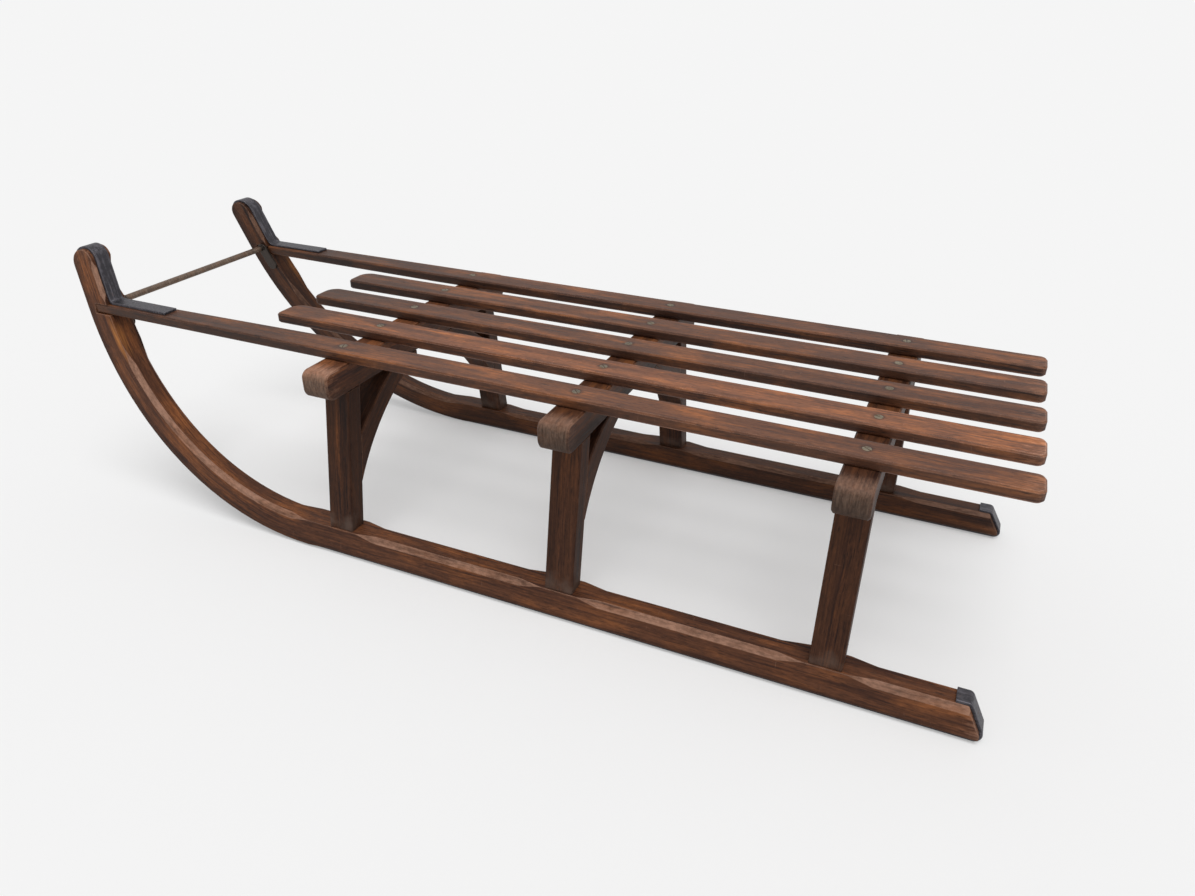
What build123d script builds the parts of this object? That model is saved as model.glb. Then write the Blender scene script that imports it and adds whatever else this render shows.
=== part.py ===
from build123d import *
import math
import os

# A wooden sled of the Davos pattern: two bent runners shod with strap iron, three pairs of
# leaning posts, three crossbars, curved braces and a seat of five long slats.
# Millimetres. +X is forward, towards the horns, +Y is left and +Z is up. Stations along the
# sled are set out from a line near the middle crossbar. The finished pieces are moved so that
# the origin is on the floor, midway along the whole length and midway between the runners.

# Stance of the two side frames
lean_deg = 9.0
outer_y_floor = 192.0

# Runners: bent ash bars with upright horns in front
runner_wide = 28.0
runner_deep = 31.5
runner_heel_x = -428.0
heel_slope_deg = 62.0
heel_tip_round = 5.0
heel_top_round = 2.5
bend_start_x = 328.0
bend_radius = 344.0
bend_deg = 73.0
horn_length = 50.0
top_chamfer = 4.8
heel_chamfer_run_in = 1.0
bend_chamfer_share = 0.86
chamfer_run_out = 26.0
chamfer_land = 4.0
belly_chamfer = 2.6
horn_chamfer = 4.0
horn_chamfer_run_out = 9.0

# Sole irons: one strap each, from the heel's tongue round to the seat
iron_thick = 3.0
iron_wide = 18.0
tongue_length = 12.0
seat_bend_round = 9.0
seat_strap_length = 84.0

# Seat: slats on crossbars
seat_height = 246.0
slat_thick = 11.6
seat_rear_x = -427.0
seat_front_x = 418.0
slat_edge_chamfer = 1.8
slat_front_near_round = 5.0
slat_front_far_round = 16.0
slat_rear_round = 8.0
outer_slat_wide = 33.5
inner_slat_wide = 37.0
centre_slat_wide = 36.0
slat_housing_deep = 19.0
slat_taper_x = 330.0

# Crossbars
bar_wide = 33.0
bar_deep = 32.5
bar_overhang = 33.5
bar_edge_chamfer = 1.8
bar_end_top_round = 9.0
bar_end_under_round = 13.0

# Posts with a tenon at each end
post_along = 32.0
post_thick = 22.0
post_inset = 1.5
post_edge_round = 1.6
tenon_along = 18.0
tenon_thick = 10.0
foot_tenon = 17.0
head_tenon = 20.0
tenon_clearance = 0.2

# Braces: crooks between a post's inner face and the crossbar's underside
brace_toe_thick = 8.0
brace_edge_chamfer = 1.2
brace_inner_rise = 15.0
brace_outer_rise = 4.0

# Rod between the horns, with its flattened and turned-down ends
rod_diameter = 8.0
rod_into_horn = 9.3
rod_below_seat = 3.0
tab_thick = 3.2
tab_wide = 15.0
tab_length = 40.0
tab_slope_deg = 68.0
tab_end_above_rod = 6.0
tab_end_before_rod = 2.0

joint_gap = 0.2

# Room that a cutter takes beyond the wood, so that it cuts clear of the faces
cutter_over = 4.0
cutter_reach = 20.0

# A brace's foot and throat are measured down the post from the crossbar's underside, and
# its shoulder and toe along the crossbar from the post's inner face.
# name, crossbar x, braced, foot drop, throat drop, shoulder reach, toe reach
pair_table = (
    ("front", 280.0, True, 116.0, 57.0, 70.5, 110.5),
    ("middle", -2.0, True, 96.0, 32.0, 52.5, 96.5),
    ("rear", -282.5, False, 0.0, 0.0, 0.0, 0.0),
)

# Sizes that follow from the ones above
lean = math.radians(lean_deg)
bend = math.radians(bend_deg)
heel_slope = math.radians(heel_slope_deg)
bar_top = seat_height - slat_thick
bar_bottom = bar_top - bar_deep
wood_top = iron_thick + runner_deep
wood_top_z = wood_top * math.cos(lean)
wood_foot_z = iron_thick * math.cos(lean)
sole_radius = bend_radius - iron_thick
back_radius = sole_radius - runner_deep
heel_tip = (runner_heel_x, iron_thick)
heel_top = (runner_heel_x + runner_deep / math.tan(heel_slope), wood_top)
tenon_inset = post_inset + (post_thick - tenon_thick) / 2

os.makedirs("parts", exist_ok=True)


def write(shape, node):
    """Write one piece to its own file, with the sled's middle at the origin."""
    export_step(Pos(-length_middle_x, 0, 0) * shape, f"parts/{node}.step")


def write_pair(shape, node):
    """Write a piece of the left side and its mirror image."""
    write(shape, f"{node}_left")
    write(mirror(shape, about=Plane.XZ), f"{node}_right")


# The leaning side frame. Its profiles are drawn in its own plane, x forward and up the lean.


def outer_y(z):
    """Outer face of the left side frame at height z."""
    return outer_y_floor - math.tan(lean) * z


def up_frame(z):
    """Height z measured up the leaning frame."""
    return z / math.cos(lean)


def frame_plane(inset):
    """Plane of the left side frame, moved level in from its outer face."""
    lean_normal = (0, -math.cos(lean), -math.sin(lean))
    return Plane(origin=(0, outer_y_floor - inset, 0), x_dir=(1, 0, 0), z_dir=lean_normal)


def across(profile, inset, wide):
    """Carry a side-frame profile level across the sled, so its sides keep the lean."""
    return extrude(frame_plane(inset) * profile, amount=wide, dir=(0, -1, 0))


def on_bend(radius, angle):
    """Point on the front bend, at this angle from its start."""
    return (bend_start_x + radius * math.sin(angle), bend_radius - radius * math.cos(angle))


def up_horn(radius, distance):
    """Point on the straight horn, this far past the bend."""
    foot = on_bend(radius, bend)
    return (foot[0] + distance * math.cos(bend), foot[1] + distance * math.sin(bend))


def horn_back_x(z):
    """Where the horn's rear face stands at height z."""
    foot = on_bend(back_radius, bend)
    return foot[0] + (up_frame(z) - foot[1]) / math.tan(bend)


slat_end_x = horn_back_x(seat_height) + slat_housing_deep
outer_slat_inside = outer_y(seat_height) - outer_slat_wide
inner_slat_y = (outer_slat_inside + centre_slat_wide / 2) / 2
bar_half_length = outer_y((bar_top + bar_bottom) / 2) + bar_overhang
rod_z = seat_height - rod_below_seat
rod_x = horn_back_x(rod_z) + rod_into_horn

# The iron's outside is the longest reach at both ends: at the heel's foot and at the crown.
heel_reach = runner_heel_x + heel_tip_round / math.tan(heel_slope / 2) - heel_tip_round
heel_reach -= iron_thick
crown_middle = up_horn((sole_radius + back_radius) / 2, horn_length)
crown_reach = crown_middle[0] + runner_deep / 2 + iron_thick
length_middle_x = (heel_reach + crown_reach) / 2


# Runners


def runner_profile():
    """Outline of the bent bar: sloped heel, long bend, straight horn with a round crown."""
    crown_front = up_horn(sole_radius, horn_length)
    crown_back = up_horn(back_radius, horn_length)
    crown_top = up_horn((sole_radius + back_radius) / 2, horn_length + runner_deep / 2)
    with BuildSketch() as sketch:
        with BuildLine():
            Line(heel_tip, on_bend(sole_radius, 0))
            ThreePointArc(*[on_bend(sole_radius, bend * part) for part in (0, 0.5, 1)])
            Line(on_bend(sole_radius, bend), crown_front)
            ThreePointArc(crown_front, crown_top, crown_back)
            Line(crown_back, on_bend(back_radius, bend))
            ThreePointArc(*[on_bend(back_radius, bend * part) for part in (1, 0.5, 0)])
            Line(on_bend(back_radius, 0), heel_top)
            Line(heel_top, heel_tip)
        make_face()
        tip = sketch.vertices().sort_by_distance((*heel_tip, 0))[0]
        fillet(tip, heel_tip_round)
        top = sketch.vertices().sort_by_distance((*heel_top, 0))[0]
        fillet(top, heel_top_round)
    return sketch.sketch


def slat_housing():
    """Notch from behind through the horn, where the outer slat's end is let in."""
    low = up_frame(bar_top - joint_gap)
    high = up_frame(seat_height + joint_gap)
    reach = 2 * runner_deep
    middle = (slat_end_x + joint_gap - reach / 2, (low + high) / 2)
    notch = Pos(*middle) * Rectangle(reach, high - low)
    return across(notch, -cutter_reach, runner_wide + 2 * cutter_reach)


def stopped_chamfer(corner, along, outward, size, length, run_in, run_out):
    """Cutter along one sharp straight edge, which starts and ends in long points."""
    depth = size / math.sqrt(2)
    profile = Polygon(
        (-cutter_over * run_in / depth, cutter_over),
        (length + cutter_over * run_out / depth, cutter_over),
        (length - run_out, -depth),
        (run_in, -depth),
        align=None,
    )
    edge = Plane(origin=corner, x_dir=along, z_dir=along.cross(outward))
    return extrude(edge * profile, amount=cutter_reach, both=True)


def bend_chamfer(inset, side, start, end):
    """Cutter along a concave edge of the bend, from one angle to the other."""
    run = chamfer_run_out / back_radius
    centre = frame_plane(inset).from_local_coords((bend_start_x, bend_radius, 0))
    normal = frame_plane(inset).z_dir
    side_out = -side * normal

    def section(angle, size):
        """Triangle over the edge at one angle; size is the chamfer's leg."""
        radial = frame_plane(inset).from_local_coords((*on_bend(1.0, angle), 0)) - centre
        plane = Plane(origin=centre, x_dir=radial, z_dir=radial.cross(side_out))
        triangle = Polygon(
            (back_radius - cutter_over, cutter_over),
            (back_radius + size + cutter_over, cutter_over),
            (back_radius - cutter_over, -size - cutter_over),
            align=None,
        )
        return plane * triangle

    full = section(start + run, top_chamfer)
    turn = math.degrees(end - start - 2 * run)
    axis = Axis(centre, normal)
    main = revolve(full, axis=axis, revolution_arc=turn)
    run_in = loft([section(start, 0.0), full], ruled=True)
    run_out = loft([section(end - run, top_chamfer), section(end, 0.0)], ruled=True)
    return [main, run_in, run_out]


def foot_tenon_solid(x, gap):
    """Tenon under a post, or with a gap its mortise in the runner."""
    low = wood_top_z - foot_tenon - gap
    return leaning_bar(x, low, wood_top_z + 1.0, tenon_inset, tenon_thick, tenon_along, gap)


def head_tenon_solid(x, gap):
    """Tenon on a post's head, or with a gap its mortise in the crossbar."""
    high = bar_bottom + head_tenon + gap
    return leaning_bar(x, bar_bottom - 1.0, high, tenon_inset, tenon_thick, tenon_along, gap)


def leaning_bar(x, low, high, inset, thick, along, gap):
    """Bar that leans with the side frame and has level ends."""
    outline = Polygon(
        (outer_y(low) - inset + gap, low),
        (outer_y(high) - inset + gap, high),
        (outer_y(high) - inset - thick - gap, high),
        (outer_y(low) - inset - thick - gap, low),
        align=None,
    )
    start = Plane.YZ.offset(x - along / 2 - gap)
    return extrude(start * outline, amount=along + 2 * gap)


def runner_bays():
    """Stretches of the runner's top edge between the posts, each with its run-in and run-out."""
    half = post_along / 2 + chamfer_land
    front_x, middle_x, rear_x = [row[1] for row in pair_table]
    run = chamfer_run_out
    return (
        (heel_top[0] - heel_top_round, rear_x - half, heel_chamfer_run_in, run),
        (rear_x + half, middle_x - half, run, run),
        (middle_x + half, front_x - half, run, run),
    )


def side_chamfers(side, inset):
    """Cutters for one side of the runner: top edges, bend, horn and belly."""
    forward = Vector(1, 0, 0)
    outward = Vector(0, side, 0)
    cutters = []
    edge_y = outer_y(wood_top_z) - inset
    for x_from, x_to, run_in, run_out in runner_bays():
        corner = (x_from, edge_y, wood_top_z)
        up = outward + Vector(0, 0, 1)
        length = x_to - x_from
        cutters.append(stopped_chamfer(corner, forward, up, top_chamfer, length, run_in, run_out))
    cutters += bend_chamfer(inset, side, 0.0, bend * bend_chamfer_share)
    frame = frame_plane(inset)
    foot = frame.from_local_coords((*up_horn(back_radius, 0), 0))
    up_the_horn = frame.from_local_coords((*up_horn(back_radius, 1), 0)) - foot
    back = frame.z_dir.cross(up_the_horn)
    run = horn_chamfer_run_out
    cutters.append(
        stopped_chamfer(foot, up_the_horn, outward + back, horn_chamfer, horn_length, run, run)
    )
    start_x = runner_heel_x - cutter_reach
    corner = (start_x, outer_y(wood_foot_z) - inset, wood_foot_z)
    down = outward - Vector(0, 0, 1)
    length = bend_start_x - start_x
    run_in = heel_chamfer_run_in
    cutters.append(
        stopped_chamfer(corner, forward, down, belly_chamfer, length, run_in, chamfer_run_out)
    )
    return cutters


def build_runner():
    """Left runner: bent bar with stopped chamfers, mortises and the slat's housing."""
    bar = across(runner_profile(), 0.0, runner_wide)
    cutters = side_chamfers(1, 0.0) + side_chamfers(-1, runner_wide)
    cutters += [foot_tenon_solid(row[1], tenon_clearance) for row in pair_table]
    cutters.append(slat_housing())
    for cutter in cutters:
        bar = bar - cutter
    return bar


write_pair(build_runner(), "runner")


# Sole irons


def strap_outline(start, heading_deg, moves):
    """Strip of iron that follows the wood: (length, 0, 0) runs, (0, radius, turn) bends."""
    wood_side = []
    free_side = []
    x, y = start
    angle = math.radians(heading_deg)
    first = None
    for length, radius, turn_deg in moves:
        right = (math.sin(angle), -math.cos(angle))
        free = (x + iron_thick * right[0], y + iron_thick * right[1])
        first = first or ((x, y), free)
        if radius == 0:
            x += length * math.cos(angle)
            y += length * math.sin(angle)
            end_free = (x + iron_thick * right[0], y + iron_thick * right[1])
            wood_side.append(Line(first_point(wood_side, first[0]), (x, y)))
            free_side.append(Line(free, end_free))
            continue
        turn = math.radians(turn_deg)
        hand = 1 if turn > 0 else -1
        centre = (x - hand * radius * right[0], y - hand * radius * right[1])
        points = []
        for part in (0.0, 0.5, 1.0):
            swing = angle + turn * part
            out = (hand * math.sin(swing), -hand * math.cos(swing))
            far = radius + hand * iron_thick
            points.append(
                (
                    (centre[0] + radius * out[0], centre[1] + radius * out[1]),
                    (centre[0] + far * out[0], centre[1] + far * out[1]),
                )
            )
        wood_side.append(ThreePointArc(*[p[0] for p in points]))
        free_side.append(ThreePointArc(*[p[1] for p in points]))
        angle += turn
        x, y = points[2][0]
    caps = [
        Line(first[0], first[1]),
        Line(wood_side[-1] @ 1, free_side[-1] @ 1),
    ]
    return make_face(wood_side + free_side + caps)


def first_point(edges, start):
    """End of the last edge, or the start where there is none."""
    return edges[-1] @ 1 if edges else start


def build_sole_iron():
    """Left iron: tongue, heel, sole, bend, over the crown and down on to the slat."""
    heel_turn = heel_slope_deg
    tip_turn = 180.0 - heel_slope_deg
    top_tangent = heel_top_round * math.tan(math.radians(heel_turn) / 2)
    tip_tangent = heel_tip_round * math.tan(math.radians(tip_turn) / 2)
    heel_face = runner_deep / math.sin(heel_slope)
    crown_back = up_horn(back_radius, horn_length)
    seat_tangent = seat_bend_round * math.tan(bend / 2)
    horn_back = (crown_back[1] - up_frame(seat_height)) / math.sin(bend)
    moves = (
        (tongue_length - top_tangent, 0, 0),
        (0, heel_top_round, heel_turn),
        (heel_face - top_tangent - tip_tangent, 0, 0),
        (0, heel_tip_round, tip_turn),
        (bend_start_x - runner_heel_x - tip_tangent, 0, 0),
        (0, sole_radius, bend_deg),
        (horn_length, 0, 0),
        (0, runner_deep / 2, 180.0),
        (horn_back - seat_tangent, 0, 0),
        (0, seat_bend_round, -bend_deg),
        (seat_strap_length, 0, 0),
    )
    tongue_end = (heel_top[0] + tongue_length, heel_top[1])
    profile = strap_outline(tongue_end, 180.0, moves)
    return across(profile, (runner_wide - iron_wide) / 2, iron_wide)


write_pair(build_sole_iron(), "sole_iron")


# Posts and braces


def build_post(x):
    """Left post: leaning bar with eased edges and a tenon at each end."""
    body = leaning_bar(x, wood_top_z, bar_bottom, post_inset, post_thick, post_along, 0.0)
    uprights = [e for e in body.edges() if e.length > (bar_bottom - wood_top_z) * 0.9]
    body = fillet(uprights, post_edge_round)
    return body + foot_tenon_solid(x, 0.0) + head_tenon_solid(x, 0.0)


def risen_arc(start, end, rise):
    """Arc that stands off its chord, to the left of the way from start to end."""
    chord = (end[0] - start[0], end[1] - start[1])
    long = math.hypot(*chord)
    top = (
        (start[0] + end[0]) / 2 - rise * chord[1] / long,
        (start[1] + end[1]) / 2 + rise * chord[0] / long,
    )
    return ThreePointArc(start, top, end)


def build_brace(x, foot_drop, throat_drop, shoulder_reach, toe_reach):
    """Left brace: a crook, thick at the post and thinning to a toe under the crossbar."""
    face = post_inset + post_thick
    foot_z = bar_bottom - foot_drop
    throat_z = bar_bottom - throat_drop
    face_y = outer_y(bar_bottom) - face
    foot = (outer_y(foot_z) - face, foot_z)
    throat = (outer_y(throat_z) - face, throat_z)
    shoulder = (face_y - shoulder_reach, bar_bottom)
    toe_top = (face_y - toe_reach, bar_bottom)
    toe = (face_y - toe_reach, bar_bottom - brace_toe_thick)
    outline = [
        risen_arc(throat, shoulder, -brace_outer_rise),
        Line(shoulder, toe_top),
        Line(toe_top, toe),
        risen_arc(toe, foot, brace_inner_rise),
        Line(foot, throat),
    ]
    start = Plane.YZ.offset(x - post_along / 2)
    body = extrude(start * make_face(outline), amount=post_along)
    curved = [e for e in body.edges() if e.geom_type == GeomType.CIRCLE]
    return chamfer(curved, brace_edge_chamfer)


for name, bar_x, braced, *brace_sizes in pair_table:
    write_pair(build_post(bar_x), f"post_{name}")
    if braced:
        write_pair(build_brace(bar_x, *brace_sizes), f"brace_{name}")


# Crossbars


def build_crossbar(x):
    """Square bar whose ends are worn round in profile, with a blind mortise over each post."""
    middle_z = (bar_top + bar_bottom) / 2
    body = Pos(x, 0, middle_z) * Box(bar_wide, 2 * bar_half_length, bar_deep)
    ends = [e for e in body.edges().filter_by(Axis.X)]
    body = fillet([e for e in ends if e.center().Z > middle_z], bar_end_top_round)
    ends = [e for e in body.edges().filter_by(Axis.X)]
    at_end = bar_half_length - bar_end_top_round
    under = [e for e in ends if e.center().Z < middle_z and abs(e.center().Y) > at_end]
    body = fillet(under, bar_end_under_round)
    rims = [e for e in body.edges() if abs(e.center().X - x) > bar_wide / 2 - joint_gap]
    body = chamfer(rims, bar_edge_chamfer)
    mortise = head_tenon_solid(x, tenon_clearance)
    return body - mortise - mirror(mortise, about=Plane.XZ)


for row in pair_table:
    write(build_crossbar(row[1]), f"crossbar_{row[0]}")


# Seat slats


def ease(slat):
    """Plane a narrow flat along the upper and lower edges of a slat."""
    level = [e for e in slat.edges() if abs(e.tangent_at(0.5).Z) < 0.01]
    return chamfer(level, slat_edge_chamfer)


def round_rear(slat):
    """Round a slat's two rear corners in plan."""
    corners = slat.edges().filter_by(Axis.Z).sort_by(Axis.X)
    return fillet(corners[:2], slat_rear_round)


def build_short_slat(y, wide):
    """Slat that ends free ahead of the front crossbar, cut rounder on its right corner."""
    long = seat_front_x - seat_rear_x
    middle = (seat_rear_x + long / 2, y, bar_top + slat_thick / 2)
    slat = round_rear(Pos(*middle) * Box(long, wide, slat_thick))
    corners = slat.edges().filter_by(Axis.Z).sort_by(Axis.X)[-2:].sort_by(Axis.Y)
    slat = fillet(corners[0], slat_front_far_round)
    corners = slat.edges().filter_by(Axis.Z).sort_by(Axis.Y)
    near = [e for e in corners if e.center().X > seat_front_x - joint_gap]
    return ease(fillet(near[-1], slat_front_near_round))


def build_long_slat():
    """Left outer slat: narrows towards the horn and is let into it."""
    outside = outer_y(seat_height)
    horn_inside = outer_y(bar_top) - runner_wide + joint_gap
    outline = Polygon(
        (seat_rear_x, outside),
        (seat_rear_x, outer_slat_inside),
        (slat_taper_x, outer_slat_inside),
        (horn_back_x(seat_height), horn_inside),
        (slat_end_x, horn_inside),
        (slat_end_x, outside),
        align=None,
    )
    return ease(round_rear(extrude(Plane.XY.offset(bar_top) * outline, amount=slat_thick)))


write_pair(build_long_slat(), "slat_outer")
write(build_short_slat(inner_slat_y, inner_slat_wide), "slat_inner_left")
write(build_short_slat(-inner_slat_y, inner_slat_wide), "slat_inner_right")
write(build_short_slat(0.0, centre_slat_wide), "slat_centre")


# Rod between the horns


def build_rod():
    """Round rod whose ends are hammered flat and turned down on the horns' inner faces."""
    slope = math.radians(tab_slope_deg)
    half_tab = tab_length / 2
    tab_x = rod_x + tab_end_before_rod - half_tab * math.cos(slope)
    tab_up = up_frame(rod_z) + tab_end_above_rod - half_tab * math.sin(slope)
    slot = SlotCenterToCenter(tab_length - tab_wide, tab_wide)
    tab = across(Pos(tab_x, tab_up) * Rot(0, 0, tab_slope_deg) * slot, runner_wide, tab_thick)
    half = outer_y(rod_z) - runner_wide - tab_thick / 2
    rod = Pos(rod_x, 0, rod_z) * Rot(90, 0, 0) * Cylinder(rod_diameter / 2, 2 * half)
    return rod + tab + mirror(tab, about=Plane.XZ)


write(build_rod(), "horn_rod")
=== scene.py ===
import bpy
import bmesh
import math
import random
from mathutils import Matrix, Vector


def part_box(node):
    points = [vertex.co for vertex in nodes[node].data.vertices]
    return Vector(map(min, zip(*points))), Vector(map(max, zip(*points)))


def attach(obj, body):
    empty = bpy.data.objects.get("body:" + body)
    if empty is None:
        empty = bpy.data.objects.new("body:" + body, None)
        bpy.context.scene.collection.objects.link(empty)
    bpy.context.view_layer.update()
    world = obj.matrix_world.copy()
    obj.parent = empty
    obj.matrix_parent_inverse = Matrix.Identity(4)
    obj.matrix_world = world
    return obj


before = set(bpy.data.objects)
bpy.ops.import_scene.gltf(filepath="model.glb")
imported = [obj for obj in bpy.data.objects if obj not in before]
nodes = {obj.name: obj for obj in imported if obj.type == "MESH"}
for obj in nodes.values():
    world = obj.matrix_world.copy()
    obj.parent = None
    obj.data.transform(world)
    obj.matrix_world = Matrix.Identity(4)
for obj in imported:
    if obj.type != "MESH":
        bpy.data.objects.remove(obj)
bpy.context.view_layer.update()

# Runners.
# Two ash bars, steam-bent at the front into horns. They are planed, chamfered between the
# posts with a drawknife, stained dark and worn down to pale wood on the chamfers.

MM = 0.001
to_mm = (1 / MM, 1 / MM, 1 / MM)
lean = math.radians(9.0)
bend_angle = math.radians(73.0)
bend_radius = 344.0 * MM
bend_middle_radius = 325.0 * MM
bend_ahead_of_crossbar = 48.0 * MM


def middle_of(node):
    """Centre of a CAD node's box."""
    low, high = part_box(node)
    return (low + high) / 2


bend_start_x = middle_of("crossbar_front").x + bend_ahead_of_crossbar


def linear(hex_colour):
    """Linear RGBA of an sRGB hex colour."""
    channels = []
    for start in (1, 3, 5):
        share = int(hex_colour[start:start + 2], 16) / 255
        channels.append(share / 12.92 if share <= 0.04045 else ((share + 0.055) / 1.055) ** 2.4)
    return (*channels, 1.0)


def add(tree, kind, links=None, out=0, **settings):
    """Add a node with its settings and its inputs' values or links, and give one output."""
    node = tree.nodes.new("ShaderNode" + kind)
    for name, value in settings.items():
        setattr(node, name, value)
    for socket, value in (links or {}).items():
        if isinstance(value, bpy.types.NodeSocket):
            tree.links.new(value, node.inputs[socket])
        else:
            node.inputs[socket].default_value = value
    return node.outputs[out]


# A Mix blends by its input 0, from 2 to 3 or, between colours, from 6 to 7. A Map Range gives
# 0 to 1 where nothing else is said.
of_colours = {"out": 2, "data_type": "RGBA"}
of_piece = {"out": "Fac", "attribute_type": "OBJECT"}

# Dark walnut stain rubbed into planed wood: fine lengthwise fibre, short dark pores, slow
# bands of heartwood, and blotches where the stain has thinned to a warm orange brown.
stain_deep = "#321a12"
stain_middle = "#6d442d"
stain_warm = "#985c33"
stain_pore = "#1c100b"
# Pale worn wood, which also paints the highlight along rounded edges.
worn_wood_and_edge_highlight = "#a37c67"
# What shows in the grain: length and width in mm, detail and roughness of its pattern. The
# pores of ash are 0.3 mm wide, too fine for the picture, and are drawn three times as wide.
grain_marks = {
    "fibre": (60.0, 2.0, 5.0, 0.62),
    "pore": (12.0, 1.0, 1.0, 0.5),
    "band": (420.0, 11.0, 2.0, 0.5),
    "blotch": (80.0, 22.0, 4.0, 0.6),
    "mottle": (7.0, 2.6, 5.0, 0.72),
    "scratch": (1.0, 15.0, 2.0, 0.5),
}
# Between which values of its pattern each of these fades in, and how strong it then is.
depth_fade = {"From Min": 0.37, "From Max": 0.62}
thin_fade = {"From Min": 0.47, "From Max": 0.64}
pore_fade = {"From Min": 0.60, "From Max": 0.72, "To Max": 0.75}
edge_wear_and_highlight_fade = {"From Min": 0.99, "From Max": 0.80, "To Max": 0.95}
bare_fade = {"From Min": 0.86, "From Max": 1.50, "To Max": 0.85}
scratch_fade = {"From Min": 0.70, "From Max": 0.78, "To Max": 0.35}
mottle_value = {"From Min": 0.28, "From Max": 0.72, "To Min": 0.66, "To Max": 1.34}
wood_rough = {"From Min": 0.3, "From Max": 0.7, "To Min": 0.46, "To Max": 0.64}
band_share = 0.40
mottle_share = 0.5
ragged_reach = 1.3
pore_sunk = -0.8
sway_size = (160.0, 40.0, 40.0)
sway_reach = (0.0, 9.0, 9.0)
edge_round = 2.4 * MM
grain_relief = 0.5 * MM
grain_relief_strength = 0.45


def stained_grain():
    """Group that turns a grain place in mm, wear, warmth and shade into a stained surface."""
    tree = bpy.data.node_groups.new("stained_grain", "ShaderNodeTree")
    given_sockets = ("Grain", "Vector"), ("Worn", "Float"), ("Warmth", "Float"), ("Shade", "Float")
    taken_sockets = ("Colour", "Color"), ("Roughness", "Float"), ("Normal", "Vector")
    for way, sockets in (("INPUT", given_sockets), ("OUTPUT", taken_sockets)):
        for name, kind in sockets:
            tree.interface.new_socket(name, in_out=way, socket_type="NodeSocket" + kind)
    given = tree.nodes.new("NodeGroupInput").outputs
    taken = tree.nodes.new("NodeGroupOutput").inputs
    seed = add(tree, "Attribute", **of_piece, attribute_name="seed")
    tone = add(tree, "Attribute", **of_piece, attribute_name="tone")
    # No bar is grown dead straight, so the whole grain sways by a few millimetres.
    swayed = add(tree, "VectorMath", {0: given["Grain"], 1: sway_size}, operation="DIVIDE")
    swayed = add(tree, "TexNoise", {"Vector": swayed, "W": seed, "Scale": 1.0}, out=1,
                 noise_dimensions="4D")
    swayed = add(tree, "VectorMath", {0: swayed, 1: sway_reach, 2: given["Grain"]},
                 operation="MULTIPLY_ADD")
    mark = {}
    for name, (length, width, detail, rough) in grain_marks.items():
        drawn = add(tree, "VectorMath", {0: swayed, 1: (length, width, width)}, operation="DIVIDE")
        mark[name] = add(tree, "TexNoise", {"Vector": drawn, "W": seed, "Scale": 1.0,
                                            "Detail": detail, "Roughness": rough},
                         noise_dimensions="4D")
    depth = add(tree, "Mix", {0: band_share, 2: mark["fibre"], 3: mark["band"]})
    depth = add(tree, "MapRange", {"Value": depth, **depth_fade})
    colour = add(tree, "Mix", {0: depth, 6: linear(stain_deep), 7: linear(stain_middle)},
                 **of_colours)
    thin = add(tree, "MapRange", {"Value": mark["blotch"], **thin_fade})
    thin = add(tree, "Math", {0: thin, 1: given["Warmth"]}, operation="MULTIPLY")
    thin = add(tree, "Math", {0: thin, 1: depth}, operation="MULTIPLY")
    colour = add(tree, "Mix", {0: thin, 6: colour, 7: linear(stain_warm)}, **of_colours)
    pore = add(tree, "MapRange", {"Value": mark["pore"], **pore_fade})
    colour = add(tree, "Mix", {0: pore, 6: colour, 7: linear(stain_pore)}, **of_colours)
    # Handling has rounded each edge and taken its stain, and the paler edge is also a painted
    # highlight.
    rounded = add(tree, "Bevel", {"Radius": edge_round}, samples=6)
    flat = add(tree, "NewGeometry", out="True Normal")
    edge = add(tree, "VectorMath", {0: rounded, 1: flat}, out="Value", operation="DOT_PRODUCT")
    edge = add(tree, "MapRange", {"Value": edge, **edge_wear_and_highlight_fade})
    worn = add(tree, "Math", {0: edge, 1: given["Worn"]}, operation="ADD")
    ragged = add(tree, "Mix", {0: mottle_share, 2: mark["fibre"], 3: mark["mottle"]})
    worn = add(tree, "Math", {0: ragged, 1: ragged_reach, 2: worn}, operation="MULTIPLY_ADD")
    bare = add(tree, "MapRange", {"Value": worn, **bare_fade})
    scratch = add(tree, "MapRange", {"Value": mark["scratch"], **scratch_fade})
    bare = add(tree, "Math", {0: bare, 1: scratch}, operation="MAXIMUM")
    colour = add(tree, "Mix", {0: bare, 6: colour, 7: linear(worn_wood_and_edge_highlight)}, **of_colours)
    value = add(tree, "MapRange", {"Value": mark["mottle"], **mottle_value})
    value = add(tree, "Math", {0: value, 1: tone}, operation="MULTIPLY")
    value = add(tree, "Math", {0: value, 1: given["Shade"]}, operation="MULTIPLY")
    colour = add(tree, "HueSaturation", {"Color": colour, "Value": value})
    rough = add(tree, "MapRange", {"Value": mark["fibre"], **wood_rough})
    height = add(tree, "Math", {0: pore, 1: pore_sunk, 2: ragged}, operation="MULTIPLY_ADD")
    normal = add(tree, "Bump", {"Strength": grain_relief_strength, "Distance": grain_relief,
                                "Height": height, "Normal": rounded})
    for name, value in (("Colour", colour), ("Roughness", rough), ("Normal", normal)):
        tree.links.new(value, taken[name])
    return tree


grain_group = stained_grain()


def new_wood(name, specular):
    """A wood material: its tree, place in mm, split place, and how it faces each axis."""
    material = bpy.data.materials.new(name)
    material.use_nodes = True
    tree = material.node_tree
    tree.nodes["Principled BSDF"].inputs["Specular IOR Level"].default_value = specular
    place = add(tree, "TexCoord", out="Object")
    place = add(tree, "VectorMath", {0: place, 1: to_mm}, operation="MULTIPLY")
    split = add(tree, "SeparateXYZ", {0: place}).node.outputs
    facing = add(tree, "NewGeometry", out="True Normal")
    facing = add(tree, "VectorMath", {0: facing}, operation="ABSOLUTE")
    facing = add(tree, "SeparateXYZ", {0: facing}).node.outputs
    return tree, place, split, facing


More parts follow.
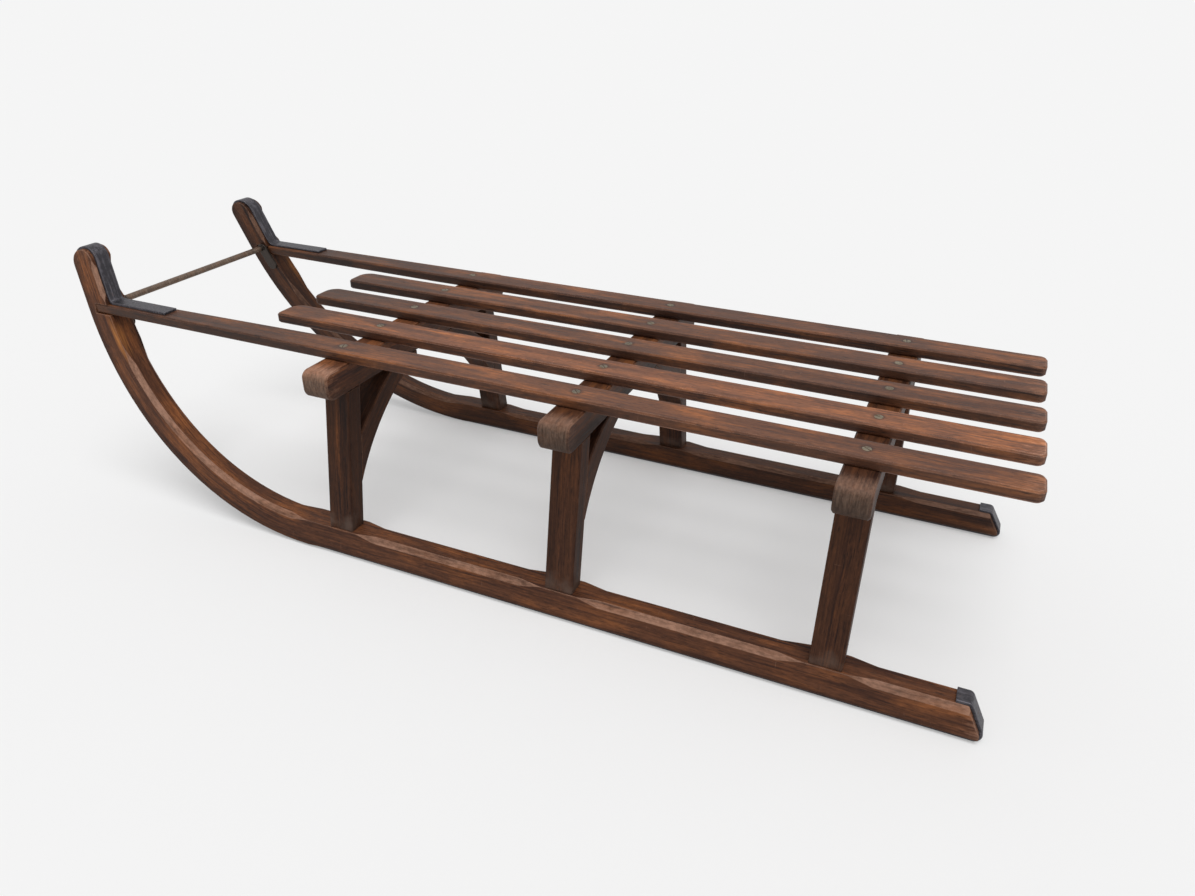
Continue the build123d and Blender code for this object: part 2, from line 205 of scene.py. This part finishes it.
def stain(tree, grain, worn=0.0, warmth=1.0, shade=1.0):
    """Put the stained grain on a wood material and give its colour."""
    links = {"Grain": grain, "Worn": worn, "Warmth": warmth, "Shade": shade}
    stained = add(tree, "Group", links, node_tree=grain_group).node.outputs
    shader = tree.nodes["Principled BSDF"]
    tree.links.new(stained["Colour"], shader.inputs["Base Color"])
    tree.links.new(stained["Roughness"], shader.inputs["Roughness"])
    tree.links.new(stained["Normal"], shader.inputs["Normal"])
    return stained["Colour"]


def follow_bend(tree, place):
    """Place on the bent bar in mm: along its middle line, across it, out from its centre."""
    x, y, z = add(tree, "SeparateXYZ", {0: place}).node.outputs
    ahead = add(tree, "Math", {0: x, 1: bend_start_x / MM}, operation="SUBTRACT")
    rise = add(tree, "Math", {0: z, 1: 1 / math.cos(lean), 2: -bend_radius / MM},
               operation="MULTIPLY_ADD")
    drop = add(tree, "Math", {0: rise, 1: -1.0}, operation="MULTIPLY")
    forward = add(tree, "Math", {0: ahead, 1: 0.0}, operation="MAXIMUM")
    turn = add(tree, "Math", {0: forward, 1: drop}, operation="ARCTAN2")
    turn = add(tree, "Math", {0: turn, 1: bend_angle}, operation="MINIMUM")
    sine = add(tree, "Math", {0: turn}, operation="SINE")
    cosine = add(tree, "Math", {0: turn}, operation="COSINE")
    along = add(tree, "Math", {0: ahead, 1: cosine}, operation="MULTIPLY")
    along = add(tree, "Math", {0: rise, 1: sine, 2: along}, operation="MULTIPLY_ADD")
    along = add(tree, "Math", {0: turn, 1: bend_middle_radius / MM, 2: along},
                operation="MULTIPLY_ADD")
    out = add(tree, "Math", {0: drop, 1: cosine}, operation="MULTIPLY")
    out = add(tree, "Math", {0: ahead, 1: sine, 2: out}, operation="MULTIPLY_ADD")
    side = add(tree, "Math", {0: y}, operation="ABSOLUTE")
    across = add(tree, "Math", {0: z, 1: math.tan(lean), 2: side}, operation="MULTIPLY_ADD")
    grain = add(tree, "CombineXYZ", {0: along, 1: across, 2: out})
    return grain, along, across, out


# Steam-bent ash: dull, with its fibre running round the bend and pale, patchy wear wherever
# the drawknife left a chamfer.
runner_specular = 0.16
runner_warmth = 0.9
# How far a face looks to the side, where it is a chamfer and neither the side nor the top.
chamfer_off_side = {"From Min": 0.94, "From Max": 0.86}
chamfer_off_top = {"From Min": 0.38, "From Max": 0.46}
# In mm: out from the bend's centre, lengthwise from the sled's middle, and along the bar.
chamfer_above_sole = {"From Min": 335.0, "From Max": 322.0}
sole_painted_shade = {"From Min": 332.0, "From Max": 341.0, "To Max": 0.7}
heel_wear = {"From Min": -522.0, "From Max": -545.0, "To Max": 0.40}
horn_wear = {"From Min": 415.0, "From Max": 480.0, "To Max": 0.30}
patch_size = (55.0, 14.0, 14.0)
patch_wear = {"From Min": 0.35, "From Max": 0.65, "To Min": 0.46, "To Max": 0.86}
rub_colour = "#b3743c"
# Along the bar, across it and out from the bend's centre.
rub_place = (364.0, 190.0, 313.0)
rub_reach = (27.0, 14.0, 4.0)
rub_streak_size = (30.0, 1.6, 1.6)
rub_streak_reach = -1.6
rub_fade = {"From Min": 0.45, "From Max": -0.65, "To Max": 0.9}

runner_tree, runner_place, runner_split, runner_facing = new_wood("bent_ash_stained",
                                                                  runner_specular)
runner_grain, runner_along, _, runner_out = follow_bend(runner_tree, runner_place)
chamfered = add(runner_tree, "MapRange", {"Value": runner_facing[1], **chamfer_off_side})
leaning = add(runner_tree, "MapRange", {"Value": runner_facing[1], **chamfer_off_top})
chamfered = add(runner_tree, "Math", {0: chamfered, 1: leaning}, operation="MULTIPLY")
upward = add(runner_tree, "MapRange", {"Value": runner_out, **chamfer_above_sole})
chamfered = add(runner_tree, "Math", {0: chamfered, 1: upward}, operation="MULTIPLY")
patchy = add(runner_tree, "VectorMath", {0: runner_grain, 1: patch_size}, operation="DIVIDE")
patchy = add(runner_tree, "TexNoise", {"Vector": patchy, "Scale": 1.0, "Detail": 3.0})
patchy = add(runner_tree, "MapRange", {"Value": patchy, **patch_wear})
chamfered = add(runner_tree, "Math", {0: chamfered, 1: patchy}, operation="MULTIPLY")
# The heels and the outsides of the horns are knocked pale too.
heel_worn = add(runner_tree, "MapRange", {"Value": runner_split[0], **heel_wear})
horn_worn = add(runner_tree, "MapRange", {"Value": runner_along, **horn_wear})
end_worn = add(runner_tree, "Math", {0: heel_worn, 1: horn_worn}, operation="ADD")
runner_worn = add(runner_tree, "Math", {0: chamfered, 1: end_worn}, operation="ADD")
runner_colour = stain(runner_tree, runner_grain, worn=runner_worn, warmth=runner_warmth)
# Painted shade: the lowest millimetres of wood next to the iron are darkened.
painted_sole_shade = add(runner_tree, "MapRange", {"Value": runner_out, **sole_painted_shade})
runner_colour = add(runner_tree, "Mix", {0: painted_sole_shade, 6: runner_colour, 7: linear(stain_pore)},
                    **of_colours)
# The horn's side is rubbed to orange wood in streaks along the grain, just under the seat.
rub = add(runner_tree, "VectorMath", {0: runner_grain, 1: rub_place}, operation="SUBTRACT")
rub = add(runner_tree, "VectorMath", {0: rub, 1: rub_reach}, operation="DIVIDE")
rub = add(runner_tree, "VectorMath", {0: rub}, out="Value", operation="LENGTH")
streaky = add(runner_tree, "VectorMath", {0: runner_grain, 1: rub_streak_size},
              operation="DIVIDE")
streaky = add(runner_tree, "TexNoise", {"Vector": streaky, "Scale": 1.0, "Detail": 4.0})
rub = add(runner_tree, "Math", {0: streaky, 1: rub_streak_reach, 2: rub},
          operation="MULTIPLY_ADD")
rubbed = add(runner_tree, "MapRange", {"Value": rub, **rub_fade})
runner_colour = add(runner_tree, "Mix", {0: rubbed, 6: runner_colour, 7: linear(rub_colour)},
                    **of_colours)
runner_tree.links.new(runner_colour, runner_tree.nodes["Principled BSDF"].inputs["Base Color"])


def dress(node, wood, seed, tone):
    """Give a CAD node its wood, with its own stretch of grain and its own tone."""
    piece = nodes[node]
    piece.data.materials.clear()
    piece.data.materials.append(bpy.data.materials[wood])
    piece["seed"] = float(seed)
    piece["tone"] = float(tone)


dress("runner_left", "bent_ash_stained", seed=1.3, tone=0.90)
dress("runner_right", "bent_ash_stained", seed=7.9, tone=0.52)

# Sole irons and horn rod.
# Strip iron 3 mm thick, bent cold round the heel and the horn and screwed on from below, and
# a round rod with flattened ends. Bare mill iron that has gone dark, polished on its edges,
# which are also painted lighter as a highlight.

iron_metallic = 0.8
iron_rough = {"From Min": 0.3, "From Max": 0.7, "To Min": 0.36, "To Max": 0.62}
iron_spot = 9.0
iron_spot_share = 0.5
iron_scratch_size = (30.0, 1.6, 1.6)
iron_bare_fade = {"From Min": 0.46, "From Max": 0.66, "To Max": 0.8}
# Polished edges, painted lighter as a highlight as well.
iron_edge_wear_and_highlight_fade = {"From Min": 0.99, "From Max": 0.80, "To Max": 0.75}
iron_edge_round = 1.6 * MM
iron_relief = 0.3 * MM
iron_relief_strength = 0.35
# Rust starts at the strongest spots, and spreads down from there as its share grows.
rust_start = 0.64
rust_start_drop = 0.4
rust_full = 0.76
rust_full_drop = 0.3
rust_strength = 0.85
sole_screw_pitch = 74.0
sole_screw_radius = 4.0
sole_screw_ring = {"From Min": 0.9, "From Max": 0.3}
sole_screw_half_slot = 0.6
sole_screw_ring_and_slot = "#1d1b1b"
sole_iron_half_width = 9.0
sole_iron_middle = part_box("sole_iron_left")[1].y / MM - sole_iron_half_width
sole_face_out = 343.0


def aged_iron(name, dark, light, rust, rust_share, screws=False):
    """Mill iron gone dark: scratches to lighter metal, a thin coat of rust, polished edges painted
    lighter as a highlight too.
    """
    material = bpy.data.materials.new(name)
    material.use_nodes = True
    tree = material.node_tree
    shader = tree.nodes["Principled BSDF"]
    place = add(tree, "TexCoord", out="Object")
    place = add(tree, "VectorMath", {0: place, 1: to_mm}, operation="MULTIPLY")
    spots = add(tree, "TexNoise", {"Vector": place, "Scale": 1 / iron_spot, "Detail": 6.0,
                                   "Roughness": 0.7})
    grain, along, across, out = follow_bend(tree, place)
    drawn = add(tree, "VectorMath", {0: grain, 1: iron_scratch_size}, operation="DIVIDE")
    lines = add(tree, "TexNoise", {"Vector": drawn, "Scale": 1.0, "Detail": 4.0})
    bare = add(tree, "Mix", {0: iron_spot_share, 2: lines, 3: spots})
    bare = add(tree, "MapRange", {"Value": bare, **iron_bare_fade})
    rounded = add(tree, "Bevel", {"Radius": iron_edge_round}, samples=6)
    flat = add(tree, "NewGeometry", out="True Normal")
    edge = add(tree, "VectorMath", {0: rounded, 1: flat}, out="Value", operation="DOT_PRODUCT")
    edge = add(tree, "MapRange", {"Value": edge, **iron_edge_wear_and_highlight_fade})
    bare = add(tree, "Math", {0: bare, 1: edge}, operation="MAXIMUM")
    colour = add(tree, "Mix", {0: bare, 6: linear(dark), 7: linear(light)}, **of_colours)
    rusted = add(tree, "MapRange", {"Value": spots,
                                    "From Min": rust_start - rust_share * rust_start_drop,
                                    "From Max": rust_full - rust_share * rust_full_drop,
                                    "To Max": rust_strength})
    colour = add(tree, "Mix", {0: rusted, 6: colour, 7: linear(rust)}, **of_colours)
    if screws:
        # Countersunk heads ground flush with the strip: a dark ring and a dark slot every pitch.
        step = add(tree, "Math", {0: along, 1: sole_screw_pitch}, operation="PINGPONG")
        aside = add(tree, "Math", {0: across, 1: sole_iron_middle}, operation="SUBTRACT")
        away = add(tree, "CombineXYZ", {0: step, 1: aside})
        away = add(tree, "VectorMath", {0: away}, out="Value", operation="LENGTH")
        ring = add(tree, "Math", {0: away, 1: sole_screw_radius}, operation="SUBTRACT")
        ring = add(tree, "Math", {0: ring}, operation="ABSOLUTE")
        ring = add(tree, "MapRange", {"Value": ring, **sole_screw_ring})
        inside = add(tree, "Math", {0: away, 1: sole_screw_radius}, operation="LESS_THAN")
        cut = add(tree, "Math", {0: aside}, operation="ABSOLUTE")
        cut = add(tree, "Math", {0: cut, 1: sole_screw_half_slot}, operation="LESS_THAN")
        cut = add(tree, "Math", {0: cut, 1: inside}, operation="MULTIPLY")
        cut = add(tree, "Math", {0: cut, 1: ring}, operation="MAXIMUM")
        outer = add(tree, "Math", {0: out, 1: sole_face_out}, operation="GREATER_THAN")
        cut = add(tree, "Math", {0: cut, 1: outer}, operation="MULTIPLY")
        colour = add(tree, "Mix", {0: cut, 6: colour, 7: linear(sole_screw_ring_and_slot)}, **of_colours)
    tree.links.new(colour, shader.inputs["Base Color"])
    rough = add(tree, "MapRange", {"Value": spots, **iron_rough})
    tree.links.new(rough, shader.inputs["Roughness"])
    normal = add(tree, "Bump", {"Strength": iron_relief_strength, "Distance": iron_relief,
                                "Height": spots, "Normal": rounded})
    tree.links.new(normal, shader.inputs["Normal"])
    shader.inputs["Metallic"].default_value = iron_metallic
    return material


# Strip iron that has kept its black scale: blue-grey and dull, with long bright scratches.
strip_iron = aged_iron("strip_iron_blackened", dark="#3c3a3e", light="#76737a", rust="#5c4a3f",
                       rust_share=0.1, screws=True)
for side in ("left", "right"):
    iron = nodes[f"sole_iron_{side}"]
    iron.data.materials.clear()
    iron.data.materials.append(strip_iron)

# Drawn rod under an even coat of brown rust, with black scale left on its flattened tabs.
rod_tab_colour = "#2f2b29"
rod_tab_fade = {"From Min": 116.0 * MM, "From Max": 120.0 * MM, "To Max": 0.85}
rod_iron = aged_iron("rod_iron_browned", dark="#66574c", light="#9d8d80", rust="#745c4c",
                     rust_share=0.5)
rod_tree = rod_iron.node_tree
rod_shader = rod_tree.nodes["Principled BSDF"]
rod_y = add(rod_tree, "SeparateXYZ", {0: add(rod_tree, "TexCoord", out="Object")}, out=1)
rod_y = add(rod_tree, "Math", {0: rod_y}, operation="ABSOLUTE")
rod_tab = add(rod_tree, "MapRange", {"Value": rod_y, **rod_tab_fade})
rod_colour = rod_shader.inputs["Base Color"].links[0].from_socket
rod_colour = add(rod_tree, "Mix", {0: rod_tab, 6: rod_colour, 7: linear(rod_tab_colour)},
                 **of_colours)
rod_tree.links.new(rod_colour, rod_shader.inputs["Base Color"])
nodes["horn_rod"].data.materials.clear()
nodes["horn_rod"].data.materials.append(rod_iron)

# Posts and braces.
# Straight-grained ash posts tenoned into runner and crossbar, with crooks bent in behind the
# front two pairs. They have kept most of their dark stain, because nothing rubs them, and are
# darkened further as painted shade under the seat.

post_specular = 0.14
# The streak by mm from the middle of a face, and what it gives in warmth and shade.
streak_width = {"From Min": 7.0, "From Max": 1.0}
streak_warmth = {"To Min": 0.25, "To Max": 1.0}
streak_shade = {"To Min": 0.92, "To Max": 1.18}
foot_dirt_colour = "#5c4c43"
foot_dirt_spot = 16.0
foot_dirt_height = {"From Min": 72.0, "From Max": 42.0, "To Min": -0.45, "To Max": 0.15}
foot_dirt_fade = {"From Min": 0.42, "From Max": 0.75, "To Max": 0.6}
# Each pair's tone: its dark stain, made darker still as painted shade under the seat.
post_stain_and_shade_tones = {"front": 0.43, "middle": 0.53, "rear": 0.52}
pairs = tuple(post_stain_and_shade_tones)

# Stained ash that has hardly been touched: nearly black brown, with a faint upright fibre.
post_tree, post_place, post_split, _ = new_wood("post_ash_stained", post_specular)
post_side = add(post_tree, "Math", {0: post_split[1]}, operation="ABSOLUTE")
post_across = add(post_tree, "Math", {0: post_split[2], 1: math.tan(lean), 2: post_side},
                  operation="MULTIPLY_ADD")
post_grain = add(post_tree, "CombineXYZ", {0: post_split[2], 1: post_split[0], 2: post_across})
# The middle of each face has lost some stain, in one upright streak.
post_middle = add(post_tree, "Attribute", **of_piece, attribute_name="middle_x")
off_middle = add(post_tree, "Math", {0: post_split[0], 1: post_middle}, operation="SUBTRACT")
off_middle = add(post_tree, "Math", {0: off_middle}, operation="ABSOLUTE")
streak = add(post_tree, "MapRange", {"Value": off_middle, **streak_width})
post_warm = add(post_tree, "MapRange", {"Value": streak, **streak_warmth})
post_shade = add(post_tree, "MapRange", {"Value": streak, **streak_shade})
post_colour = stain(post_tree, post_grain, warmth=post_warm, shade=post_shade)
# Grey dirt has dried on the feet, where snow lies on the runner.
dirty = add(post_tree, "TexNoise", {"Vector": post_place, "Scale": 1 / foot_dirt_spot,
                                    "Detail": 4.0})
foot = add(post_tree, "MapRange", {"Value": post_split[2], **foot_dirt_height})
dirty = add(post_tree, "Math", {0: dirty, 1: foot}, operation="ADD")
dirty = add(post_tree, "MapRange", {"Value": dirty, **foot_dirt_fade})
post_colour = add(post_tree, "Mix", {0: dirty, 6: post_colour, 7: linear(foot_dirt_colour)},
                  **of_colours)
post_tree.links.new(post_colour, post_tree.nodes["Principled BSDF"].inputs["Base Color"])

# The same stained ash on the crooks, whose fibre climbs inwards with them.
brace_slope = math.radians(40.0)
brace_tone = 0.48
brace_warmth = 0.35
brace_tree, _, brace_split, _ = new_wood("brace_crook_stained", post_specular)
brace_side = add(brace_tree, "Math", {0: brace_split[1]}, operation="ABSOLUTE")
brace_run = add(brace_tree, "Math", {0: brace_side, 1: -math.cos(brace_slope)},
                operation="MULTIPLY")
brace_run = add(brace_tree, "Math", {0: brace_split[2], 1: math.sin(brace_slope), 2: brace_run},
                operation="MULTIPLY_ADD")
brace_rise = add(brace_tree, "Math", {0: brace_side, 1: math.sin(brace_slope)},
                 operation="MULTIPLY")
brace_rise = add(brace_tree, "Math", {0: brace_split[2], 1: math.cos(brace_slope),
                                      2: brace_rise}, operation="MULTIPLY_ADD")
brace_grain = add(brace_tree, "CombineXYZ", {0: brace_run, 1: brace_split[0], 2: brace_rise})
stain(brace_tree, brace_grain, warmth=brace_warmth)

# Each piece has its own stretch of grain, in steps by pair, by side and from post to brace.
first_post_seed = 11.0
pair_seed_step = 3.7
side_seed_step = 1.9
brace_seed_step = 20.0
for number, pair in enumerate(pairs):
    for offset, side in enumerate(("left", "right")):
        post = f"post_{pair}_{side}"
        brace = f"brace_{pair}_{side}"
        seed = first_post_seed + pair_seed_step * number + side_seed_step * offset
        dress(post, "post_ash_stained", seed, post_stain_and_shade_tones[pair])
        nodes[post]["middle_x"] = middle_of(post).x / MM
        if brace in nodes:
            dress(brace, "brace_crook_stained", seed + brace_seed_step, brace_tone)

# Crossbars.
# Square bars that carry the slats. Their ends stick out past the posts, where every knock and
# every boot has rounded them and left grey-brown end grain.

bar_specular = 0.18
end_grain_pale = "#957b69"
end_grain_dark = "#2e211a"
end_grain_size = (1.8, 9.0, 12.0)
end_grain_fade = {"From Min": 0.30, "From Max": 0.72}
end_face_fade = {"From Min": 0.45, "From Max": 0.98, "To Max": 0.7}
# From the sled's middle in mm, and by how far a face looks up: end wear, made stronger on faces
# that look up as a painted highlight.
bar_end_wear = {"From Min": 158.0, "From Max": 178.0, "To Max": 0.28}
top_highlight_fade = {"From Min": 0.25, "From Max": 0.65, "To Min": 1.0, "To Max": 2.3}
bar_shade_below_top = 8.0
bar_low, bar_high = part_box("crossbar_middle")
bar_under_shade = {"From Min": bar_low.z / MM,
                   "From Max": bar_high.z / MM - bar_shade_below_top, "To Min": 0.32}
# Crossbar, seed of its grain, tone.
bar_rows = (("front", 41.0, 1.08), ("middle", 46.3, 0.66), ("rear", 51.6, 0.60))

# Planed ash with rough ends: dark and plain under the slats, with painted shade low down, and pale
# and ragged where it is cut.
bar_tree, bar_place, bar_split, bar_facing = new_wood("crossbar_ash_stained", bar_specular)
bar_grain = add(bar_tree, "CombineXYZ", {0: bar_split[1], 1: bar_split[0], 2: bar_split[2]})
bar_side = add(bar_tree, "Math", {0: bar_split[1]}, operation="ABSOLUTE")
end_wear_and_top_highlight = add(bar_tree, "MapRange", {"Value": bar_side, **bar_end_wear})
top_highlight = add(bar_tree, "MapRange", {"Value": bar_facing[2], **top_highlight_fade})
end_wear_and_top_highlight = add(bar_tree, "Math", {0: end_wear_and_top_highlight, 1: top_highlight}, operation="MULTIPLY")
# Painted shade: the bars darken towards their undersides, where the slats keep the light off them.
painted_under_shade = add(bar_tree, "MapRange", {"Value": bar_split[2], **bar_under_shade})
bar_colour = stain(bar_tree, bar_grain, worn=end_wear_and_top_highlight, shade=painted_under_shade)
end_face = add(bar_tree, "MapRange", {"Value": bar_facing[1], **end_face_fade})
ends = add(bar_tree, "VectorMath", {0: bar_place, 1: end_grain_size}, operation="DIVIDE")
ends = add(bar_tree, "TexNoise", {"Vector": ends, "Scale": 1.0, "Detail": 5.0,
                                  "Roughness": 0.7})
ends = add(bar_tree, "MapRange", {"Value": ends, **end_grain_fade})
ends = add(bar_tree, "Mix", {0: ends, 6: linear(end_grain_dark), 7: linear(end_grain_pale)},
           **of_colours)
bar_tone = add(bar_tree, "Attribute", **of_piece, attribute_name="tone")
bar_tone = add(bar_tree, "Math", {0: bar_tone, 1: painted_under_shade}, operation="MULTIPLY")
ends = add(bar_tree, "HueSaturation", {"Color": ends, "Value": bar_tone})
bar_colour = add(bar_tree, "Mix", {0: end_face, 6: bar_colour, 7: ends}, **of_colours)
bar_tree.links.new(bar_colour, bar_tree.nodes["Principled BSDF"].inputs["Base Color"])
for pair, seed, tone in bar_rows:
    dress(f"crossbar_{pair}", "crossbar_ash_stained", seed, tone)

# Seat slats.
# Five planed boards with their long edges taken off, screwed down to each crossbar. The tops
# are polished by riders, and the planed edges have worn through the stain and are painted
# lighter as a highlight.

slat_specular = 0.30
# By how far a face looks up, and lengthwise in mm.
slat_side_painted_shade = {"From Min": 0.10, "From Max": 0.90, "To Min": 0.50}
slat_front_darkening = {"From Min": 60.0, "From Max": 260.0, "To Min": 1.0, "To Max": 0.54}
slat_rear_wear = {"From Min": -505.0, "From Max": -548.0, "To Max": 0.30}
screw_radius = 4.2
screw_recess_shade_fade = {"From Min": 11.0, "From Max": screw_radius + 2.0, "To Max": 0.8}
screw_recess_shade_spot = 6.0
screw_recess_shade_spread = 6.0
beyond_slat = 1000.0
# Node, seed of its grain, tone.
slat_rows = (
    ("slat_outer_left", 61.2, 1.22),
    ("slat_inner_left", 64.8, 1.75),
    ("slat_centre", 67.1, 1.04),
    ("slat_inner_right", 73.5, 1.06),
    ("slat_outer_right", 78.4, 1.04),
)

# Beech, close-grained and polished in use: a warm brown with a soft sheen on top.
slat_tree, slat_place, slat_split, slat_facing = new_wood("slat_beech_stained", slat_specular)
# Painted shade makes the sides darker than the tops, the slats grow darker towards the front,
# and boots wear the rear ends.
side_shade_and_front_dark = add(slat_tree, "MapRange", {"Value": slat_facing[2], **slat_side_painted_shade})
front_darkening = add(slat_tree, "MapRange", {"Value": slat_split[0], **slat_front_darkening})
side_shade_and_front_dark = add(slat_tree, "Math", {0: side_shade_and_front_dark, 1: front_darkening}, operation="MULTIPLY")
slat_worn = add(slat_tree, "MapRange", {"Value": slat_split[0], **slat_rear_wear})
slat_colour = stain(slat_tree, slat_place, worn=slat_worn, shade=side_shade_and_front_dark)
# Painted shade: a dark ring round each screw stands for the shade in its countersink.
screw_y = add(slat_tree, "Attribute", **of_piece, attribute_name="screw_y")
away_y = add(slat_tree, "Math", {0: slat_split[1], 1: screw_y}, operation="SUBTRACT")
nearest = beyond_slat
for pair in pairs:
    screw_x = middle_of(f"crossbar_{pair}").x / MM
    away_x = add(slat_tree, "Math", {0: slat_split[0], 1: screw_x}, operation="SUBTRACT")
    away = add(slat_tree, "CombineXYZ", {0: away_x, 1: away_y})
    away = add(slat_tree, "VectorMath", {0: away}, out="Value", operation="LENGTH")
    nearest = add(slat_tree, "Math", {0: nearest, 1: away}, operation="MINIMUM")
uneven = add(slat_tree, "TexNoise", {"Vector": slat_place, "Scale": 1 / screw_recess_shade_spot,
                                     "Detail": 3.0})
nearest = add(slat_tree, "Math", {0: uneven, 1: screw_recess_shade_spread, 2: nearest},
              operation="MULTIPLY_ADD")
recess_shade = add(slat_tree, "MapRange", {"Value": nearest, **screw_recess_shade_fade})
slat_colour = add(slat_tree, "Mix", {0: recess_shade, 6: slat_colour, 7: linear(stain_pore)},
                  **of_colours)
slat_tree.links.new(slat_colour, slat_tree.nodes["Principled BSDF"].inputs["Base Color"])
for node, seed, tone in slat_rows:
    dress(node, "slat_beech_stained", seed, tone)

# Slat screws.
# Slotted countersunk iron screws, one where each slat crosses each crossbar, driven until the
# head lies level with the wood and never turned since.

screw_slot = 1.1
screw_proud = 0.2
screw_deep = 1.4
screw_top_share = 0.82
head_steps = 12
seat_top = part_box("slat_centre")[1].z
# The outer slats narrow towards the horns, so their boxes' middles aren't over the crossbars.
outer_slat_middle = 136.3 * MM
random.seed(5)


def half_head(shape, turn, centre, part):
    """Half of a slotted head: a level D-shaped plate with a rounded rim."""
    rings = ((1.0, -screw_deep), (1.0, 0.0), (screw_top_share, screw_proud))
    start = math.asin(screw_slot / 2 / screw_radius)
    loops = []
    for scale, height in rings:
        loop = []
        for step in range(head_steps + 1):
            angle = start + (math.pi - 2 * start) * step / head_steps
            x = screw_radius * scale * math.cos(angle)
            y = max(screw_radius * scale * math.sin(angle), screw_slot / 2)
            point = Matrix.Rotation(turn + part * math.pi, 3, "Z") @ Vector((x, y, height))
            loop.append(shape.verts.new(centre + point * MM))
        loops.append(loop)
    for low, high in zip(loops, loops[1:]):
        for step in range(len(low)):
            after = (step + 1) % len(low)
            shape.faces.new((low[step], low[after], high[after], high[step]))
    shape.faces.new(loops[-1])


screws = bmesh.new()
for node, _, _ in slat_rows:
    y = middle_of(node).y
    if "outer" in node:
        y = math.copysign(outer_slat_middle, y)
    nodes[node]["screw_y"] = y / MM
    for pair in pairs:
        centre = Vector((middle_of(f"crossbar_{pair}").x, y, seat_top))
        turn = random.uniform(0.0, math.pi)
        for part in (0, 1):
            half_head(screws, turn, centre, part)
screw_mesh = bpy.data.meshes.new("slat_screws")
screws.to_mesh(screw_mesh)
screws.free()
slat_screws = bpy.data.objects.new("slat_screws", screw_mesh)
bpy.context.scene.collection.objects.link(slat_screws)
# Iron heads dulled brown in the seat, with their rims polished by what slides over them and
# painted lighter as a highlight.
screw_iron = aged_iron("screw_iron_dull", dark="#5b5346", light="#a89d86", rust="#5d4a33",
                       rust_share=0.3)
slat_screws.data.materials.append(screw_iron)
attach(slat_screws, "root")

# Studio.
# A plain pale floor that runs out of view, lit from all round and softly from above.

floor_size = 120.0
floor_colour = "#f4f4f4"
floor_seen_colour = "#f6f6f6"
floor_own_light = 0.32
sky_colour = "#ffffff"
sky_strength = 0.52
softbox_strength = 1.6
softbox_spread = math.radians(40.0)
softbox_turn = (math.radians(-14.0), math.radians(-10.0), 0.0)


def see_directly(tree):
    """One for a ray from the camera, or by way of gloss or glass, and zero for the rest."""
    rays = add(tree, "LightPath").node.outputs
    seen = add(tree, "Math", {0: rays["Is Camera Ray"], 1: rays["Is Glossy Ray"]},
               operation="MAXIMUM")
    return add(tree, "Math", {0: seen, 1: rays["Is Transmission Ray"]}, operation="MAXIMUM")


floor_mesh = bpy.data.meshes.new("floor")
half = floor_size / 2
floor_mesh.from_pydata([(-half, -half, 0), (half, -half, 0), (half, half, 0), (-half, half, 0)],
                       [], [(0, 1, 2, 3)])
floor = bpy.data.objects.new("floor", floor_mesh)
bpy.context.scene.collection.objects.link(floor)
# Matt emulsion: one even white without gloss.
floor_paint = bpy.data.materials.new("matt_studio_floor")
floor_paint.use_nodes = True
floor_tree = floor_paint.node_tree
floor_shader = floor_tree.nodes["Principled BSDF"]
floor_shader.inputs["Base Color"].default_value = linear(floor_colour)
floor_shader.inputs["Roughness"].default_value = 1.0
floor_shader.inputs["Specular IOR Level"].default_value = 0.0
# The camera and gloss see a floor that partly gives its own white, so the shade is soft.
floor_seen = see_directly(floor_tree)
floor_seen = add(floor_tree, "Math", {0: floor_seen, 1: floor_own_light}, operation="MULTIPLY")
own = add(floor_tree, "Emission", {"Color": linear(floor_seen_colour)})
blend = add(floor_tree, "MixShader", {0: floor_seen, 1: floor_shader.outputs[0], 2: own})
floor_tree.links.new(blend, floor_tree.nodes["Material Output"].inputs["Surface"])
floor_mesh.materials.append(floor_paint)

world = bpy.data.worlds.new("studio")
world.use_nodes = True
world_tree = world.node_tree
sky = world_tree.nodes["Background"]
sky.inputs["Strength"].default_value = sky_strength
sky.inputs["Color"].default_value = linear(sky_colour)
# The camera and gloss see a plain pale wall beyond the floor.
wall_seen = see_directly(world_tree)
wall = add(world_tree, "Background", {"Color": linear(floor_seen_colour), "Strength": 1.0})
walled = add(world_tree, "MixShader", {0: wall_seen, 1: sky.outputs[0], 2: wall})
world_tree.links.new(walled, world_tree.nodes["World Output"].inputs["Surface"])
bpy.context.scene.world = world
softbox_light = bpy.data.lights.new("overhead_softbox", "SUN")
softbox_light.energy = softbox_strength
softbox_light.angle = softbox_spread
softbox = bpy.data.objects.new("overhead_softbox", softbox_light)
softbox.rotation_euler = softbox_turn
bpy.context.scene.collection.objects.link(softbox)
bpy.context.scene.view_settings.view_transform = "Standard"

# Camera.
# It stands above the seat, on the sled's left and behind its middle, and looks down across
# the slats towards the front.

photo_width = 1195.0
focal_pixels = 888.0
sensor_width = 36.0
camera_place = Vector((-0.4639, 0.8520, 0.6209))
camera_pitch = math.radians(28.97)
camera_yaw = math.radians(23.84)
camera_roll = math.radians(0.28)
ahead = Vector((math.sin(camera_yaw) * math.cos(camera_pitch),
                -math.cos(camera_yaw) * math.cos(camera_pitch), -math.sin(camera_pitch)))
level = ahead.cross(Vector((0, 0, 1))).normalized()
above = level.cross(ahead)
right = level * math.cos(camera_roll) + above * math.sin(camera_roll)
over = above * math.cos(camera_roll) - level * math.sin(camera_roll)
camera_data = bpy.data.cameras.new("camera")
camera_data.sensor_width = sensor_width
camera_data.lens = focal_pixels / photo_width * sensor_width
camera = bpy.data.objects.new("camera", camera_data)
turned = Matrix((right, over, -ahead)).transposed().to_4x4()
camera.matrix_world = Matrix.Translation(camera_place) @ turned
bpy.context.scene.collection.objects.link(camera)
bpy.context.scene.camera = camera
